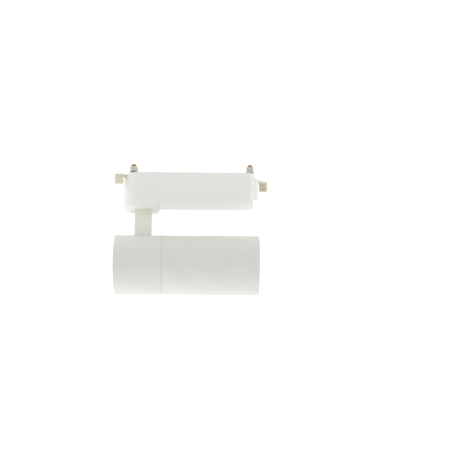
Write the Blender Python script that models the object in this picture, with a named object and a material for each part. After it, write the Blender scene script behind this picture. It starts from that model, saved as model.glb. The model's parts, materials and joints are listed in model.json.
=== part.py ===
"""Track spotlight: a driver box with two quarter-turn locks, an arm that pans and a round head that tilts.

The frame is in metres, +Z up. The origin is on the pan axis, in the plane where the box meets the rail.
+X is the direction of the light at rest. Every dimension below is in millimetres.
"""

import math

import bmesh
import bpy
from mathutils import Matrix, Vector

MM = 0.001
GAP = 0.3

# Driver box
BOX_END_X = 113.5
BOX_ROUND_X = -2.5
BOX_HALF = 18.5
BOX_CORNER = 6.0
BOX_DEPTH = 31.4
BOX_WALL = 2.2
BOX_FILLET = 1.8
FLOOR_Z = -28.7

# Pad under the round end, which holds the pan swivel
PAD_BOTTOM = -36.5
PAD_TOP_X = 17.6
PAD_BOTTOM_X = 13.9
PAD_FILLET = 2.6
PAD_STEP = 0.04
SWIVEL_R = 13.0
SWIVEL_TOP = -33.9
POCKET_R = 12.6
POCKET_FLOOR = -31.2
STOP_INNER_R = 9.0
STOP_HALF_WIDTH = 0.6
PAN_HOLE_R = 3.8

# Locks
LOCK_LEFT_X = -10.5
LOCK_RIGHT_X = 109.5
SHELF_Z = -4.1
SHELF_THICK = 2.2
BOSS_R = 8.9
BOSS_BOTTOM = -23.2
BOSS_POCKET_R = 6.6
LEFT_NOTCH_HALF = 10.6
RIGHT_NOTCH_HALF = 9.6
JOURNAL_R = 4.0
JOURNAL_BOTTOM = -12.5
CLIP_TOP = -6.9
CLIP_THICK = 0.6
CLIP_GROOVE_R = 3.2
HUB_R = 6.0
LEVER_BOTTOM = -3.7
LEVER_TOP = -0.7
LEVER_WIDTH = 5.0
TAB_REACH = 20.2
TAB_THICK = 3.3
TAB_WIDTH = 8.9
TAB_TURN = math.pi / 4
TAB_BOTTOM = -11.8
TAB_HOLLOW = ((-3.0, -0.5), (-1.5, 3.7), (-11.0, -4.4))
TAB_TOP = -1.0
NECK_R = 4.6
NECK_TOP = 2.4
CORE_R = 2.6
CORE_TOP = 8.6
LOCK_PLATE = (24.0, 8.6, 2.7, 4.5)
CARRIER = (22.0, 7.4, 4.8, 8.8)
BLADE = (26.0, 4.8, 9.1, 9.9)

# Lid
LID_LEFT_X = -3.6
LID_RIGHT_X = 102.6
LID_THICK = 2.2
LID_SCREW_SPOTS = ((20.5, 10.8), (97.0, -10.8))
POST_R = 3.4
LID_SCREW_HEAD_R = 2.3
LID_SCREW_R = 1.1

# Driver electronics
BOARD_X = (27.0, 92.5)
BOARD_HALF = 13.6
BOARD_TOP = -24.0
BOARD_THICK = 1.6
RIB_SPOTS = (34.0, 86.0)

# Pan tube and its washers
TUBE_R = 3.5
TUBE_BORE = 2.2
TUBE_TOP = -25.2
TUBE_BOTTOM = -43.2
NUT_FLATS = 11.0

# Arm
ARM_HALF_X = 8.8
ARM_HALF_Y = 5.0
ARM_TOP = PAD_BOTTOM - 0.1
DISC_BOTTOM = -36.2
CHANNEL_TOP = -44.0
CHANNEL_BOTTOM = -84.0
COVER_HALF = 4.2
COVER_THICK = 1.4
WIRE_R = 1.5

# Head
HEAD_Z = -93.5
HEAD_R = 30.4
HEAD_WALL = 2.3
HEAD_REAR_X = -27.8
HEAD_SEAM_X = 21.0
HEAD_FRONT_X = 119.5
SLOT_HALF = 5.6
EAR_THICK = 3.0
SLOT_FRONT_X = 9.2
SLOT_DROP = 9.4
CHAMBER_FRONT_X = 12.0
AXLE_R = 2.4
AXLE_HOLE_R = 2.7
REAR_SCREW_Y = 22.0
SINK_SCREW_Z = 21.0
FLANGE_X = (21.3, 24.6)
SINK_PLATE_X = (46.0, 52.0)
FIN_COUNT = 9
FIN_THICK = 1.6
FIN_PITCH = 5.6
SINK_HOLE_Y = 14.0
BOWL_FRONT_X = 96.0
BOWL_R = (9.0, 25.6)
BOWL_THICK = 1.2
GLASS_R = 27.5
GLASS_THICK = 2.4
GLARE_R = (24.0, 26.6)
GLARE_STEPS = 3

ORIGIN = Vector((0.0, 0.0, 0.0))
PAN = Vector((0.0, 0.0, PAD_BOTTOM))
TILT = Vector((0.0, 0.0, HEAD_Z))
LEFT_LOCK = Vector((LOCK_LEFT_X, 0.0, 0.0))
RIGHT_LOCK = Vector((LOCK_RIGHT_X, 0.0, 0.0))

COLOURS = {
    "white_plastic": ((0.74, 0.74, 0.71), 0.42, 0.0),
    "ivory_nylon": ((0.66, 0.60, 0.47), 0.45, 0.0),
    "white_paint": ((0.70, 0.70, 0.67), 0.5, 0.0),
    "plated_steel": ((0.62, 0.62, 0.60), 0.35, 1.0),
    "copper_alloy": ((0.72, 0.42, 0.22), 0.3, 1.0),
    "circuit_board": ((0.05, 0.22, 0.08), 0.4, 0.0),
    "ferrite": ((0.06, 0.06, 0.065), 0.7, 0.0),
    "winding_tape": ((0.75, 0.62, 0.10), 0.5, 0.0),
    "black_plastic": ((0.025, 0.025, 0.027), 0.5, 0.0),
    "capacitor_sleeve": ((0.02, 0.04, 0.12), 0.35, 0.0),
    "cable_sheath": ((0.78, 0.78, 0.76), 0.55, 0.0),
    "red_sheath": ((0.55, 0.04, 0.03), 0.5, 0.0),
    "blue_sheath": ((0.03, 0.12, 0.45), 0.5, 0.0),
    "friction_fibre": ((0.10, 0.09, 0.08), 0.8, 0.0),
    "bare_aluminium": ((0.77, 0.78, 0.79), 0.4, 1.0),
    "bright_aluminium": ((0.91, 0.91, 0.92), 0.12, 1.0),
    "phosphor": ((0.90, 0.66, 0.10), 0.6, 0.0),
    "clear_glass": ((0.95, 0.97, 0.97), 0.05, 0.0),
    "spring_steel": ((0.45, 0.45, 0.46), 0.35, 1.0),
}


def clear_scene():
    for item in list(bpy.data.objects):
        bpy.data.objects.remove(item, do_unlink=True)


def material(name):
    found = bpy.data.materials.get(name)
    if found:
        return found
    colour, roughness, metallic = COLOURS[name]
    made = bpy.data.materials.new(name)
    made.use_nodes = True
    shader = made.node_tree.nodes["Principled BSDF"]
    shader.inputs["Base Color"].default_value = (*colour, 1.0)
    shader.inputs["Roughness"].default_value = roughness
    shader.inputs["Metallic"].default_value = metallic
    return made


def pivot(name, at):
    empty = bpy.data.objects.new(name, None)
    empty.location = at * MM
    empty.empty_display_size = 10 * MM
    bpy.context.scene.collection.objects.link(empty)
    return empty


def place(name, shape, paint, at=ORIGIN, parent=None):
    """Turn a shape in millimetres into an object whose origin is the point at."""
    bmesh.ops.remove_doubles(shape, verts=shape.verts, dist=1e-5)
    bmesh.ops.recalc_face_normals(shape, faces=shape.faces)
    bmesh.ops.transform(shape, matrix=Matrix.Scale(MM, 4) @ Matrix.Translation(-at), verts=shape.verts)
    mesh = bpy.data.meshes.new(name)
    shape.to_mesh(mesh)
    shape.free()
    mesh.shade_smooth()
    mesh.set_sharp_from_angle(angle=math.radians(32))
    mesh.materials.append(material(paint))
    made = bpy.data.objects.new(name, mesh)
    bpy.context.scene.collection.objects.link(made)
    if parent:
        made.parent = parent
    else:
        made.location = at * MM
    return made


def cutter(target, shape, operation="DIFFERENCE"):
    """Cut the shape, in millimetres, from the target, or join it on."""
    count = len(target.modifiers)
    tool = place(f"{target.name}_tool_{count}", shape, "friction_fibre")
    tool.hide_render = True
    tool.display_type = "WIRE"
    step = target.modifiers.new(f"shape_{count}", "BOOLEAN")
    step.operation = operation
    step.solver = "EXACT"
    step.object = tool


def arc(centre, radius, start, end, steps):
    points = []
    for i in range(steps + 1):
        angle = math.radians(start + (end - start) * i / steps)
        points.append((centre[0] + radius * math.cos(angle), centre[1] + radius * math.sin(angle)))
    return points


def prism(outline, low, high, axis="Z"):
    """Extrude a closed outline along an axis: (x, y) along Z, (y, z) along X or (x, z) along Y."""
    shape = bmesh.new()
    count = len(outline)
    rings = []
    for level in (low, high):
        ring = []
        for a, b in outline:
            spot = {"Z": (a, b, level), "X": (level, a, b), "Y": (a, level, b)}[axis]
            ring.append(shape.verts.new(spot))
        rings.append(ring)
    shape.faces.new(rings[0])
    shape.faces.new(rings[1])
    for i in range(count):
        j = (i + 1) % count
        shape.faces.new((rings[0][i], rings[0][j], rings[1][j], rings[1][i]))
    return shape


def block(x, y, z):
    """A box given by its low and high limits."""
    return prism([(x[0], y[0]), (x[1], y[0]), (x[1], y[1]), (x[0], y[1])], z[0], z[1])


def lathe(profile, centre=(0.0, 0.0, 0.0), axis="Z", steps=32):
    """Turn a closed profile of (radius, height) points about an axis through the centre."""
    shape = bmesh.new()
    start = [shape.verts.new((radius, 0.0, height)) for radius, height in profile]
    edges = []
    for i, here in enumerate(start):
        after = start[(i + 1) % len(start)]
        if here.co.x > 0.0 or after.co.x > 0.0:
            edges.append(shape.edges.new((here, after)))
    bmesh.ops.spin(
        shape,
        geom=start + edges,
        cent=(0.0, 0.0, 0.0),
        axis=(0.0, 0.0, 1.0),
        angle=math.tau,
        steps=steps,
        use_merge=True,
    )
    bmesh.ops.remove_doubles(shape, verts=shape.verts, dist=1e-5)
    turn = {"Z": Matrix(), "X": Matrix.Rotation(math.pi / 2, 4, "Y"), "Y": Matrix.Rotation(-math.pi / 2, 4, "X")}
    move = Matrix.Translation(centre) @ turn[axis]
    bmesh.ops.transform(shape, matrix=move, verts=shape.verts)
    return shape


def rod(radius, low, high, centre=(0.0, 0.0), axis="Z", steps=24, chamfer=0.0):
    """A solid round bar along an axis, from low to high on it."""
    edge = chamfer
    profile = [(0.0, low), (radius - edge, low), (radius, low + edge), (radius, high - edge)]
    profile += [(radius - edge, high), (0.0, high)]
    if not edge:
        profile = [(0.0, low), (radius, low), (radius, high), (0.0, high)]
    spot = {
        "Z": (centre[0], centre[1], 0.0),
        "X": (0.0, centre[0], centre[1]),
        "Y": (centre[0], 0.0, centre[1]),
    }[axis]
    return lathe(profile, spot, axis, steps)


def ring(inner, outer, low, high, centre=(0.0, 0.0), axis="Z", steps=32):
    """A round washer or tube along an axis, from low to high on it."""
    spot = {
        "Z": (centre[0], centre[1], 0.0),
        "X": (0.0, centre[0], centre[1]),
        "Y": (centre[0], 0.0, centre[1]),
    }[axis]
    return lathe([(inner, low), (outer, low), (outer, high), (inner, high)], spot, axis, steps)


def tube(path, radius, sides=10):
    """A round cable along a path of points, smoothed by rounding each corner."""
    points = [Vector(p) for p in path]
    for _ in range(2):
        finer = [points[0]]
        for a, b in zip(points[:-1], points[1:]):
            finer += [a.lerp(b, 0.25), a.lerp(b, 0.75)]
        points = finer + [points[-1]]
    shape = bmesh.new()
    rings = []
    side = None
    for i, point in enumerate(points):
        ahead = (points[min(i + 1, len(points) - 1)] - points[max(i - 1, 0)]).normalized()
        if side is None:
            side = ahead.orthogonal().normalized()
        side = (side - ahead * side.dot(ahead)).normalized()
        up = ahead.cross(side)
        loop = []
        for k in range(sides):
            angle = math.tau * k / sides
            loop.append(shape.verts.new(point + radius * (math.cos(angle) * side + math.sin(angle) * up)))
        rings.append(loop)
    for a, b in zip(rings[:-1], rings[1:]):
        for k in range(sides):
            shape.faces.new((a[k], a[(k + 1) % sides], b[(k + 1) % sides], b[k]))
    shape.faces.new(rings[0])
    shape.faces.new(rings[-1])
    return shape


def soften(shape, width, keep, segments=3):
    """Round the edges whose two ends both satisfy keep."""
    bmesh.ops.recalc_face_normals(shape, faces=shape.faces)
    edges = [e for e in shape.edges if keep(e.verts[0].co) and keep(e.verts[1].co)]
    bmesh.ops.bevel(shape, geom=edges, offset=width, segments=segments, profile=0.5, affect="EDGES")
    return shape


def on_level(level):
    return lambda co: abs(co.z - level) < 1e-4


def box_outline(inset=0.0):
    """The driver box in plan: one half-round end and one square end with round corners."""
    corner = BOX_CORNER - inset
    x = BOX_END_X - BOX_CORNER
    y = BOX_HALF - BOX_CORNER
    points = arc((BOX_ROUND_X, 0.0), BOX_HALF - inset, 90, 270, 32)
    points += arc((x, -y), corner, -90, 0, 6)
    points += arc((x, y), corner, 0, 90, 6)
    return points


def pad_outline():
    half = BOX_HALF - PAD_STEP
    points = arc((BOX_ROUND_X, 0.0), half, 90, 270, 28)
    return points + [(PAD_TOP_X, -half), (PAD_TOP_X, half)]


def pad_shape():
    """The raised pad, with its square end leaning in towards the bottom."""
    shape = prism(pad_outline(), PAD_BOTTOM, FLOOR_Z + 1.0)
    for vert in shape.verts:
        if vert.co.x > PAD_TOP_X - 0.01 and vert.co.z < PAD_BOTTOM + 0.01:
            vert.co.x = PAD_BOTTOM_X
    return soften(shape, PAD_FILLET, on_level(PAD_BOTTOM))


def slab(length, width, low, high, centre, turn=0.0):
    """A plate with round ends, lying along Y, turned about the centre."""
    radius = width / 2
    half = length / 2 - radius
    points = arc((0.0, half), radius, 0, 180, 10) + arc((0.0, -half), radius, 180, 360, 10)
    shape = prism(points, low, high)
    bmesh.ops.transform(
        shape,
        matrix=Matrix.Translation((centre[0], centre[1], 0.0)) @ Matrix.Rotation(turn, 4, "Z"),
        verts=shape.verts,
    )
    return shape


def pan_screw(head_r, head_low, head_high, shank_r, shank_end, centre, axis="Z", steps=14):
    """A cap screw: a round head between two levels and a shank that runs to its end."""
    up = head_high > head_low
    rim = 0.25 if up else -0.25
    socket_r = head_r * 0.42
    socket = head_high - (head_high - head_low) * 0.55
    profile = [(0.0, shank_end), (shank_r, shank_end), (shank_r, head_low), (head_r, head_low)]
    profile += [(head_r, head_high - rim), (head_r - abs(rim), head_high)]
    profile += [(socket_r, head_high), (socket_r, socket), (0.0, socket)]
    spot = {
        "Z": (centre[0], centre[1], 0.0),
        "X": (0.0, centre[0], centre[1]),
        "Y": (centre[0], 0.0, centre[1]),
    }[axis]
    return lathe(profile, spot, axis, steps)


def hexagon(flats):
    return arc((0.0, 0.0), flats / math.sqrt(3.0), 0, 300, 5)


# ---------------------------------------------------------------- driver box


def adapter_housing():
    outer = soften(prism(box_outline(), -BOX_DEPTH, 0.0), BOX_FILLET, on_level(-BOX_DEPTH))
    made = place("adapter_housing", outer, "white_plastic")
    cutter(made, pad_shape(), "UNION")
    boss = [(0.0, BOSS_BOTTOM), (BOSS_R - 0.8, BOSS_BOTTOM), (BOSS_R - 0.25, BOSS_BOTTOM + 0.25)]
    boss += [(BOSS_R, BOSS_BOTTOM + 0.8), (BOSS_R, -BOX_WALL), (0.0, -BOX_WALL)]
    cutter(made, lathe(boss, (LOCK_RIGHT_X, 0.0, 0.0), "Z", 40), "UNION")
    cutter(made, prism(box_outline(BOX_WALL), FLOOR_Z, 5.0))
    cutter(made, rod(BOSS_POCKET_R, BOSS_BOTTOM + 2.0, 5.0, (LOCK_RIGHT_X, 0.0), steps=32))
    cutter(made, rod(POCKET_R, POCKET_FLOOR, FLOOR_Z + 1.0, steps=40))
    cutter(made, rod(SWIVEL_R, PAD_BOTTOM - 5.0, SWIVEL_TOP, steps=48))
    cutter(made, rod(PAN_HOLE_R, -40.0, -20.0, steps=24))
    cutter(made, block((-30.0, -14.0), (-LEFT_NOTCH_HALF, LEFT_NOTCH_HALF), (SHELF_Z, 5.0)))
    cutter(made, block((109.5, 125.0), (-RIGHT_NOTCH_HALF, RIGHT_NOTCH_HALF), (SHELF_Z, 5.0)))
    for x, y in LID_SCREW_SPOTS:
        post = ring(LID_SCREW_R + 0.05, POST_R, FLOOR_Z - 0.5, -LID_THICK - GAP, (x, y), steps=20)
        cutter(made, post, "UNION")
    for x in RIB_SPOTS:
        across = (-BOX_HALF + 1.0, BOX_HALF - 1.0)
        rib = block((x - 1.0, x + 1.0), across, (FLOOR_Z - 0.5, BOARD_TOP - BOARD_THICK - GAP))
        cutter(made, rib, "UNION")
    stop = block(
        (STOP_INNER_R, POCKET_R + 0.5), (-STOP_HALF_WIDTH, STOP_HALF_WIDTH), (POCKET_FLOOR - 0.5, FLOOR_Z - 0.2)
    )
    cutter(made, stop, "UNION")


def adapter_lid():
    low = SHELF_Z - SHELF_THICK
    made = place("adapter_lid", prism(box_outline(BOX_WALL + GAP), low, 0.0), "white_plastic")
    tongue = rod(BOSS_POCKET_R - GAP, low + 0.1, SHELF_Z - 0.1, (LOCK_RIGHT_X, 0.0), steps=32)
    cutter(made, tongue, "UNION")
    inner = (LID_LEFT_X + 2.0, LID_RIGHT_X - 2.0)
    wide = (-BOX_HALF - 5.0, BOX_HALF + 5.0)
    cutter(made, block(inner, wide, (low - 5.0, -LID_THICK)))
    cutter(made, block((-30.0, LID_LEFT_X), wide, (SHELF_Z, 5.0)))
    cutter(made, block((LID_RIGHT_X, 130.0), wide, (SHELF_Z, 5.0)))
    for x in (LOCK_LEFT_X, LOCK_RIGHT_X):
        cutter(made, rod(JOURNAL_R + GAP, -10.0, 5.0, (x, 0.0), steps=28))
    for x, y in LID_SCREW_SPOTS:
        cutter(made, rod(LID_SCREW_R + GAP, -10.0, 5.0, (x, y), steps=16))
        cutter(made, rod(LID_SCREW_HEAD_R + GAP, -1.4, 5.0, (x, y), steps=20))


def lid_screws():
    for name, spot in zip(("lid_screw_left", "lid_screw_right"), LID_SCREW_SPOTS):
        shape = pan_screw(LID_SCREW_HEAD_R, -1.2, -0.2, LID_SCREW_R - 0.15, -10.0, spot)
        place(name, shape, "plated_steel")


def driver_board():
    x, y, top = BOARD_X, BOARD_HALF, BOARD_TOP
    place("driver_board", block(x, (-y, y), (top - BOARD_THICK, top)), "circuit_board")


def transformer():
    centre_x = 60.0
    low = BOARD_TOP + GAP
    high = low + 15.0
    mid = (low + high) / 2
    shape = block((centre_x - 11, centre_x + 11), (-4.5, 4.5), (low, high))
    core = place("transformer_core", shape, "ferrite")
    for side in (-1, 1):
        a, b = sorted((centre_x + side * 3.2, centre_x + side * 8.4))
        cutter(core, block((a, b), (-9.0, 9.0), (mid - 5.0, mid + 5.0)))
    half = 4.7
    outline = [(centre_x - 8.1, -8.4), (centre_x + 8.1, -8.4), (centre_x + 8.1, 8.4), (centre_x - 8.1, 8.4)]
    winding = place("transformer_winding", prism(outline, mid - half, mid + half), "winding_tape")
    cutter(winding, block((centre_x - 3.5, centre_x + 3.5), (-4.8, 4.8), (mid - 9, mid + 9)))


def capacitor(name, centre, radius, height):
    low = BOARD_TOP + GAP
    top = low + height
    profile = [(0.0, low), (radius, low), (radius, low + 1.2), (radius - 0.4, low + 1.6)]
    profile += [(radius, low + 2.0), (radius, top - 0.5), (radius - 0.5, top), (0.0, top)]
    place(name, lathe(profile, (centre[0], centre[1], 0.0), "Z", 24), "capacitor_sleeve")


def board_parts():
    low = BOARD_TOP + GAP
    capacitor("input_capacitor", (83.0, -7.0), 5.0, 16.5)
    capacitor("output_capacitor", (40.0, 6.5), 4.0, 13.0)
    place("rectifier", block((75.5, 78.5), (4.0, 12.0), (low, low + 7.0)), "black_plastic")
    choke = lathe([(1.2, low), (4.6, low), (4.6, low + 5.0), (1.2, low + 5.0)], (40.0, -7.0, 0.0), "Z", 24)
    place("output_choke", choke, "ferrite")
    place("terminal_block", block((29.0, 34.0), (-6.0, 6.0), (low, low + 8.0)), "white_plastic")


def adapter_wires():
    low = BOARD_TOP + 4.0
    live = [(LOCK_RIGHT_X, 0.0, JOURNAL_BOTTOM - GAP), (LOCK_RIGHT_X, 0.0, -18.0)]
    live += [(103.0, 4.0, low), (91.0, 6.0, low)]
    live += [(90.0, 6.5, BOARD_TOP + 1.2), (90.0, 6.5, BOARD_TOP + GAP)]
    place("live_wire", tube(live, 0.9, 8), "red_sheath")
    neutral = [(LOCK_LEFT_X, 0.0, JOURNAL_BOTTOM - GAP), (LOCK_LEFT_X, 0.0, -17.0), (-7.0, -10.0, -20.0)]
    neutral += [(8.0, -13.0, -21.0), (24.0, -10.0, low), (31.5, -4.0, BOARD_TOP + 13.0)]
    neutral += [(31.5, -3.0, BOARD_TOP + 8.6)]
    place("neutral_wire", tube(neutral, 0.9, 8), "blue_sheath")
    out = [(0.0, 0.0, TUBE_TOP + 1.6), (0.0, 0.0, -18.0), (12.0, 2.0, -14.0), (31.5, 3.5, -9.0)]
    out += [(31.5, 3.0, BOARD_TOP + 8.6)]
    place("output_wire", tube(out, WIRE_R, 10), "cable_sheath")


# --------------------------------------------------------------------- locks


def lever(side, at, parent, facing):
    """The moulded lock lever: journal, hub, slanting arm, hanging tab, and the neck that enters the rail."""
    centre = (at.x, at.y, 0.0)
    groove_low = CLIP_TOP - CLIP_THICK - 0.2
    groove_high = CLIP_TOP + 0.2
    profile = [(0.0, JOURNAL_BOTTOM), (JOURNAL_R, JOURNAL_BOTTOM), (JOURNAL_R, groove_low)]
    profile += [(CLIP_GROOVE_R, groove_low), (CLIP_GROOVE_R, groove_high), (JOURNAL_R, groove_high)]
    profile += [(JOURNAL_R, LEVER_BOTTOM), (HUB_R, LEVER_BOTTOM), (HUB_R, LEVER_TOP), (NECK_R, LEVER_TOP)]
    profile += [(NECK_R, NECK_TOP), (CORE_R, NECK_TOP), (CORE_R, CORE_TOP)]
    profile += [(1.0, CORE_TOP), (1.0, 3.0), (0.0, 3.0)]
    made = place(f"{side}_lever", lathe(profile, centre, "Z", 24), "ivory_nylon", at, parent)
    turn = Matrix.Translation(centre) @ Matrix.Rotation(facing, 4, "Z")
    half = LEVER_WIDTH / 2
    inset = 0.2
    outline = [(CORE_R, -half), (TAB_REACH + half, -half), (TAB_REACH - half, half), (CORE_R, half)]
    arm = prism(outline, LEVER_BOTTOM + inset, LEVER_TOP - inset)
    bmesh.ops.transform(arm, matrix=turn, verts=arm.verts)
    cutter(made, arm, "UNION")
    thick = (-TAB_THICK / 2, TAB_THICK / 2)
    tab = block(thick, (-TAB_WIDTH / 2, TAB_WIDTH / 2), (TAB_BOTTOM, TAB_TOP))
    bmesh.ops.recalc_face_normals(tab, faces=tab.faces)
    bmesh.ops.bevel(tab, geom=list(tab.edges), offset=0.5, segments=2, profile=0.5, affect="EDGES")
    stand = Matrix.Translation((TAB_REACH, 0.0, 0.0)) @ Matrix.Rotation(TAB_TURN, 4, "Z")
    bmesh.ops.transform(tab, matrix=turn @ stand, verts=tab.verts)
    cutter(made, tab, "UNION")
    hollow = block(*TAB_HOLLOW)
    bmesh.ops.transform(hollow, matrix=turn @ stand, verts=hollow.verts)
    cutter(made, hollow)


def lock(side, at, facing):
    parent = pivot(f"{side}_lock_pivot", at)
    spot = (at.x, at.y)
    lever(side, at, parent, facing)
    length, width, low, high = LOCK_PLATE
    plate = place(f"{side}_lock_plate", slab(length, width, low, high, spot), "plated_steel", at, parent)
    cutter(plate, rod(CORE_R + GAP, low - 1.0, high + 1.0, spot, steps=24))
    length, width, low, high = CARRIER
    shape = block((at.x - width / 2, at.x + width / 2), (-length / 2, length / 2), (low, high))
    carrier = place(f"{side}_contact_carrier", shape, "ivory_nylon", at, parent)
    cutter(carrier, rod(CORE_R + GAP, low - 1.0, high + 1.0, spot, steps=24))
    length, width, low, high = BLADE
    blade = place(f"{side}_contact_blade", slab(length, width, low, high, spot), "copper_alloy", at, parent)
    cutter(blade, rod(1.3, low - 1.0, high + 1.0, spot, steps=16))
    screw = pan_screw(2.3, BLADE[3] + 0.2, BLADE[3] + 1.6, 0.85, 4.0, spot, steps=12)
    place(f"{side}_cap_screw", screw, "plated_steel", at, parent)
    points = arc(spot, 5.9, 30, 330, 16) + arc(spot, CLIP_GROOVE_R + 0.2, 330, 30, 16)
    place(
        f"{side}_retaining_clip", prism(points, CLIP_TOP - CLIP_THICK, CLIP_TOP), "spring_steel", at, parent
    )


# ----------------------------------------------------------------- pan swivel


def pan_parts(parent):
    outer = SWIVEL_R - GAP
    profile = [(TUBE_R + GAP, DISC_BOTTOM), (outer - 0.4, DISC_BOTTOM), (outer, DISC_BOTTOM + 0.4)]
    profile += [(outer, SWIVEL_TOP - GAP), (TUBE_R + GAP, SWIVEL_TOP - GAP)]
    place("swivel_disc", lathe(profile, (0.0, 0.0, 0.0), "Z", 48), "white_paint", PAN, parent)
    place("pan_tube", ring(TUBE_BORE, TUBE_R, TUBE_BOTTOM, TUBE_TOP, steps=24), "plated_steel", PAN, parent)
    low = POCKET_FLOOR + GAP
    washer = place(
        "pan_stop_washer", ring(TUBE_R + GAP, 8.0, low, low + 1.0, steps=40), "plated_steel", PAN, parent
    )
    tongue = block((-POCKET_R + 0.8, -6.0), (-STOP_HALF_WIDTH, STOP_HALF_WIDTH), (low + 0.1, low + 0.9))
    cutter(washer, tongue, "UNION")
    low += 1.0 + GAP
    spring = lathe(
        [(TUBE_R + GAP, low), (6.8, low + 0.5), (6.8, low + 0.9), (TUBE_R + GAP, low + 0.4)],
        (0.0, 0.0, 0.0),
        "Z",
        32,
    )
    place("pan_spring_washer", spring, "spring_steel", PAN, parent)
    low += 0.9 + GAP
    nut = place("pan_nut", prism(hexagon(NUT_FLATS), low, low + 2.6), "plated_steel", PAN, parent)
    cutter(nut, rod(TUBE_R + 0.15, low - 1.0, low + 4.0, steps=24))


def arm(parent):
    half = ARM_HALF_X
    points = [(-half, ARM_TOP), (half, ARM_TOP)]
    points += [(x, z) for x, z in arc((0.0, HEAD_Z), half, 0, -180, 20)]
    shape = prism(points, -ARM_HALF_Y, ARM_HALF_Y, "Y")
    bmesh.ops.recalc_face_normals(shape, faces=shape.faces)
    long_edges = [e for e in shape.edges if abs(abs(e.verts[0].co.y) - ARM_HALF_Y) < 1e-4]
    rim = [
        e
        for e in long_edges
        if abs(e.verts[0].co.y - e.verts[1].co.y) < 1e-4
        and not on_level(ARM_TOP)((e.verts[0].co + e.verts[1].co) / 2)
    ]
    bmesh.ops.bevel(shape, geom=rim, offset=0.7, segments=2, profile=0.5, affect="EDGES")
    made = place("arm", shape, "white_paint", PAN, parent)
    cutter(made, rod(TUBE_R + GAP, CHANNEL_TOP, ARM_TOP + 5.0, steps=24))
    cutter(made, block((-2.6, 2.6), (-2.4, 10.0), (CHANNEL_BOTTOM, CHANNEL_TOP + 1.0)))
    step = ARM_HALF_Y - COVER_THICK - GAP
    cover_room = (CHANNEL_BOTTOM - 2.0, CHANNEL_TOP - 2.0)
    cutter(made, block((-COVER_HALF - GAP, COVER_HALF + GAP), (step, 10.0), cover_room))
    cutter(made, block((0.0, 12.0), (-2.2, 2.2), (CHANNEL_BOTTOM, CHANNEL_BOTTOM + 6.0)))
    cutter(made, rod(AXLE_HOLE_R, -12.0, 12.0, (0.0, HEAD_Z), "Y", 24))
    shape = block(
        (-COVER_HALF, COVER_HALF),
        (ARM_HALF_Y - COVER_THICK, ARM_HALF_Y),
        (cover_room[0] + GAP, cover_room[1] - GAP),
    )
    place("arm_cover", shape, "white_paint", PAN, parent)
    path = [(0.0, 0.0, TUBE_TOP + 0.6), (0.0, 0.0, -60.0), (0.0, 0.0, CHANNEL_BOTTOM + 4.0)]
    path += [(1.2, 0.0, CHANNEL_BOTTOM + 2.6), (8.2, 0.0, CHANNEL_BOTTOM + 2.4)]
    place("arm_wire", tube(path, WIRE_R, 10), "cable_sheath", PAN, parent)


# ----------------------------------------------------------------------- head


def circle_part(radius, low, high, steps=40):
    """The part of a circle of (y, z) whose y lies between two limits."""
    top = []
    for i in range(steps + 1):
        y = low + (high - low) * i / steps
        top.append((y, math.sqrt(max(radius * radius - y * y, 0.0))))
    bottom = [(y, -z) for y, z in reversed(top)]
    points = []
    for y, z in top + bottom:
        spot = (y, z + HEAD_Z)
        if not points or math.dist(points[-1], spot) > 1e-3:
            points.append(spot)
    if math.dist(points[0], points[-1]) < 1e-3:
        points.pop()
    return points


def head_lathe(profile, steps=64):
    return lathe(profile, (0.0, 0.0, HEAD_Z), "X", steps)


def rear_housing(parent):
    edge = 0.5
    lip = 0.25
    outer = [(0.0, HEAD_REAR_X), (HEAD_R - edge, HEAD_REAR_X), (HEAD_R, HEAD_REAR_X + edge)]
    inner = HEAD_R - HEAD_WALL
    end = HEAD_SEAM_X - 0.1
    outer += [(HEAD_R, end - lip), (HEAD_R - lip, end), (inner, end), (inner, CHAMBER_FRONT_X)]
    outer += [(0.0, CHAMBER_FRONT_X)]
    made = place("rear_housing", head_lathe(outer, 64), "white_paint", TILT, parent)
    back = HEAD_REAR_X + HEAD_WALL
    ear = SLOT_HALF + EAR_THICK
    room = inner - 0.4
    cutter(made, prism(circle_part(room, -room, -ear, 20), back, CHAMBER_FRONT_X + 0.2, "X"))
    cutter(made, prism(circle_part(room, ear, room, 20), back, CHAMBER_FRONT_X + 0.2, "X"))
    cutter(made, prism(circle_part(room, -SLOT_HALF, SLOT_HALF, 8), back, CHAMBER_FRONT_X + 0.3, "X"))
    cutter(
        made,
        block((-40.0, SLOT_FRONT_X), (-SLOT_HALF, SLOT_HALF), (HEAD_Z - SLOT_DROP, HEAD_Z + 40.0)),
    )
    cutter(made, rod(AXLE_HOLE_R, -15.0, 15.0, (0.0, HEAD_Z), "Y", 24))
    for side in (-1, 1):
        spot = (side * REAR_SCREW_Y, HEAD_Z)
        cutter(made, rod(3.6, back - 0.5, 13.4, spot, "X", 24), "UNION")
        cutter(made, rod(1.8, -40.0, 40.0, spot, "X", 20))
        cutter(made, rod(3.1, -40.0, HEAD_REAR_X + 2.4, spot, "X", 24))


def rear_screws(parent):
    for name, side in (("rear_screw_near", -1), ("rear_screw_far", 1)):
        spot = (side * REAR_SCREW_Y, HEAD_Z)
        shape = pan_screw(2.8, HEAD_REAR_X + 2.1, HEAD_REAR_X + 0.3, 1.45, FLANGE_X[1] - 0.4, spot, "X")
        place(name, shape, "plated_steel", TILT, parent)


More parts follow.
